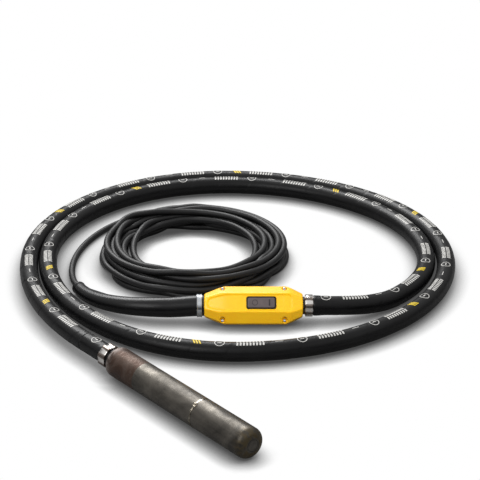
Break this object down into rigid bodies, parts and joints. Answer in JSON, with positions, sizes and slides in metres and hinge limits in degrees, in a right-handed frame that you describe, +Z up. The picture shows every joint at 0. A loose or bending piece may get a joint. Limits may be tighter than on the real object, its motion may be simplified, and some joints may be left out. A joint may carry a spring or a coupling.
{
  "type": "concrete vibrator",
  "caption": "Internal concrete vibrator laid on the floor: motor-in-head steel poker on a rubber protection hose in a double loop, yellow switch housing with rocker, and a coiled supply cable.",
  "frame": {"origin": "centre of the object's footprint, on the floor it lies on", "axes": "+Z up; +Y along the long side of the footprint, away from the head; +X from the cable coil towards the switch housing's hose end"},
  "size_m": [0.9024, 1.2372, 0.0661],
  "materials": {
    "head_steel": "hard mottled steel, scale and rubbed patches",
    "burnt_steel": "heat-tinted brown steel",
    "weld_metal": "bright weld metal",
    "tip_steel": "dull olive-brown steel",
    "hose_rubber": "satin black wrapped rubber with light printed marks",
    "sleeve_rubber": "glossy black rubber",
    "cable_rubber": "satin dark grey rubber",
    "seal_rubber": "matt black rubber",
    "crimp_steel": "polished crimped steel",
    "zinc_steel": "zinc-plated steel",
    "shell_plastic": "yellow glass-filled plastic, satin gloss",
    "black_plastic": "black plastic",
    "rocker_plastic": "warm grey plastic",
    "bearing_steel": "ground bearing steel",
    "cage_brass": "machined brass",
    "motor_iron": "laminated electrical steel",
    "winding_copper": "enamelled copper wire",
    "weight_steel": "turned steel"
  },
  "bodies": {
    "line": {"protection_hose": "hose_rubber", "hose_lead_cable": "cable_rubber", "case_nipple": "zinc_steel", "case_ferrule": "crimp_steel", "right_neck_ring": "seal_rubber", "front_shell": "shell_plastic", "rear_shell": "shell_plastic", "case_gasket": "seal_rubber", "case_screws": "zinc_steel", "switch_bezel": "black_plastic", "switch_body": "black_plastic", "rocker_pin": "bearing_steel", "switch_terminals": "cage_brass", "left_neck_ring": "seal_rubber", "clamp_band": "zinc_steel", "sleeve_nipple": "black_plastic", "strain_relief": "black_plastic", "bend_sleeve": "sleeve_rubber", "supply_cable": "cable_rubber"},
    "head": {"head_tube": "head_steel", "rear_connector": "burnt_steel", "tip_section": "head_steel", "weld_bead": "weld_metal", "tip_plug": "tip_steel", "connector_o_ring": "seal_rubber", "stator_core": "motor_iron", "stator_windings": "winding_copper", "rear_outer_ring": "bearing_steel", "front_outer_ring": "bearing_steel", "head_nipple": "zinc_steel", "head_ferrule": "crimp_steel", "hose_head_end": "hose_rubber", "head_lead": "cable_rubber"},
    "rotor": {"rotor_shaft": "bearing_steel", "rotor_core": "motor_iron", "eccentric_weight": "weight_steel", "rear_inner_ring": "bearing_steel", "front_inner_ring": "bearing_steel", "shaft_circlips": "zinc_steel"},
    "bearing_cages": {"rear_cage": "cage_brass", "front_cage": "cage_brass", "rear_rollers": "bearing_steel", "front_rollers": "bearing_steel"},
    "rocker": {"switch_rocker": "rocker_plastic"}
  },
  "joints": [
    {"name": "head_flex", "type": "hinge", "parent": "line", "child": "head", "pos_m": [-0.26998, -0.24216, 0.029], "axis": [-0.7749, -0.632, 0], "range_deg": [0, 30]},
    {"name": "rotor_spin", "type": "hinge", "parent": "head", "child": "rotor", "pos_m": [-0.22447, -0.29796, 0.029], "axis": [0.632, -0.7749, 0], "continuous": true},
    {"name": "cage_spin", "type": "hinge", "parent": "head", "child": "bearing_cages", "pos_m": [-0.22447, -0.29796, 0.029], "axis": [0.632, -0.7749, 0], "continuous": true},
    {"name": "switch_rocker_tilt", "type": "hinge", "parent": "line", "child": "rocker", "pos_m": [0.04633, -0.09613, 0.04752], "axis": [0, 0.6157, 0.788], "range_deg": [-6, 6]}
  ],
  "couplings": [
    {"joint": "cage_spin", "follows": "rotor_spin", "ratio": 0.39286}
  ]
}
